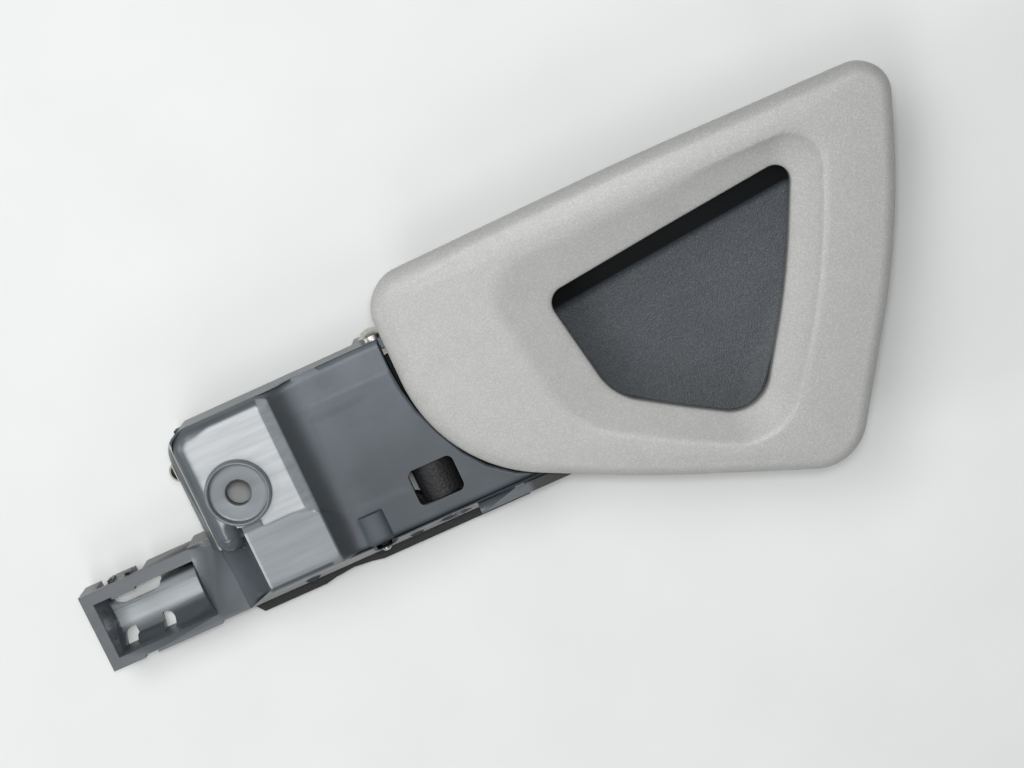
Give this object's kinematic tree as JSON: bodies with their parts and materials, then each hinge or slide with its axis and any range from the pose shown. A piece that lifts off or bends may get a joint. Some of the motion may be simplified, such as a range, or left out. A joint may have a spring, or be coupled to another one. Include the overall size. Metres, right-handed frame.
{
  "type": "car interior door handle",
  "caption": "Painted pull lever with a triangular finger opening, hinged on a moulded housing with a finger cup, fixing boss and cable bracket.",
  "frame": {"origin": "on the fixing hole's axis, at the back plane that the handle rests on", "axes": "+X along the handle towards the lever's far end, +Y towards the side with the domed pin head, +Z out of the door towards the hand"},
  "size_m": [0.2282, 0.0869, 0.037],
  "materials": {
    "housing_plastic": "slate grey moulded plastic, semi-gloss, fine grain in the finger cup",
    "lever_paint": "warm light grey paint with a fine metallic sparkle, satin",
    "black_plastic": "black moulded plastic with a fine grain",
    "pin_steel": "bright drawn steel",
    "spring_steel": "spring steel",
    "screw_steel": "zinc-plated steel",
    "bush_plastic": "natural plastic",
    "stop_rubber": "black rubber"
  },
  "bodies": {
    "housing": {"housing": "housing_plastic", "back_frame": "black_plastic", "frame_screws": "screw_steel", "hinge_pin": "pin_steel", "pin_retainer": "spring_steel", "bush_upper": "bush_plastic", "bush_lower": "bush_plastic", "spring_pin": "pin_steel", "return_spring": "spring_steel", "edge_clip": "spring_steel", "rest_stops": "stop_rubber", "travel_stop": "stop_rubber"},
    "lever": {"lever_shell": "lever_paint", "lever_carrier": "black_plastic", "carrier_screws": "screw_steel", "thrust_washer": "bush_plastic"}
  },
  "joints": [
    {"name": "lever_hinge", "type": "hinge", "parent": "housing", "child": "lever", "pos_m": [0.0436, 0, 0.0205], "axis": [0, -1, 0], "range_deg": [0, 36], "stiffness_Nm_per_rad": 0.15, "springref_deg": -20.05, "deforming": ["return_spring"]}
  ]
}
